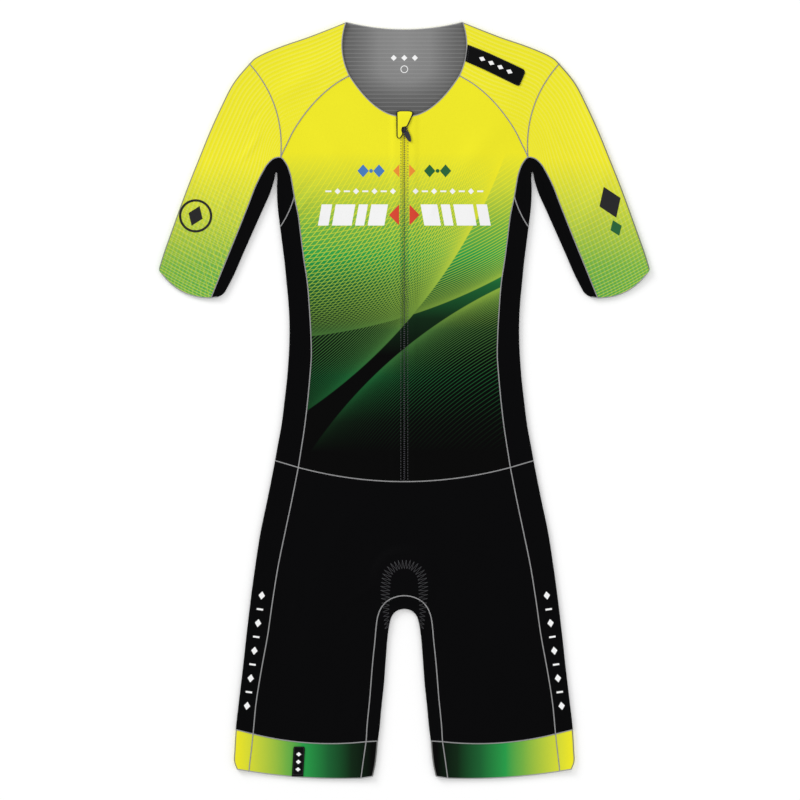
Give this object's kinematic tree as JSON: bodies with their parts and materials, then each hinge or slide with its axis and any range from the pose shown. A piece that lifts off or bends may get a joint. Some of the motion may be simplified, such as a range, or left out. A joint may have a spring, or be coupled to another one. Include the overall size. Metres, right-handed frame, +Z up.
{
  "type": "short-sleeved triathlon suit",
  "caption": "Short-sleeved one-piece triathlon suit with a full front zip, ribbed yokes and sleeves and leg bands, laid flat face up.",
  "frame": {"origin": "under the middle of the suit's outline, on the surface that it lies on", "axes": "+X to the wearer's left, +Y along the suit to the neck, +Z up out of its front"},
  "size_m": [0.6512, 1, 0.0068],
  "materials": {
    "bright_cloth": "matt stretch knit, yellow running to green and black on the chest",
    "dark_cloth": "smooth black stretch knit with a slight sheen",
    "inside_cloth": "grey inside with fine cross ribs",
    "band_cloth": "leg band, yellow outside running to green and black inside",
    "label": "smooth black label",
    "padding": "dark foam-backed pad",
    "zip_tape": "fine woven tape with coil teeth",
    "hardware": "dark painted metal slider and pull"
  },
  "bodies": {
    "suit": {"front_left": "bright_cloth", "front_right": "bright_cloth", "yoke_left": "bright_cloth", "yoke_right": "bright_cloth", "sleeve_left": "bright_cloth", "sleeve_right": "bright_cloth", "underarm_left": "dark_cloth", "underarm_right": "dark_cloth", "side_left": "dark_cloth", "side_right": "dark_cloth", "shorts_side_left": "dark_cloth", "shorts_side_right": "dark_cloth", "shorts_front": "dark_cloth", "shorts_back": "dark_cloth", "inner_gusset": "dark_cloth", "band_outer_left": "band_cloth", "band_outer_right": "band_cloth", "band_front_left": "band_cloth", "band_front_right": "band_cloth", "band_inner_left": "band_cloth", "band_inner_right": "band_cloth", "band_back_left": "band_cloth", "band_back_right": "band_cloth", "back": "inside_cloth", "chamois_pad": "padding", "zip_tape_left": "zip_tape", "zip_tape_right": "zip_tape", "zip_slider": "hardware", "zip_garage": "bright_cloth", "shoulder_badge": "label", "hem_tab": "label"},
    "pull": {"zip_pull": "hardware"}
  },
  "joints": [
    {"name": "pull_tab_hinge", "type": "hinge", "parent": "suit", "child": "pull", "pos_m": [0.0005, 0.3584, 0.0053], "axis": [-0.9063, -0.4226, 0], "range_deg": [0, 120]}
  ]
}
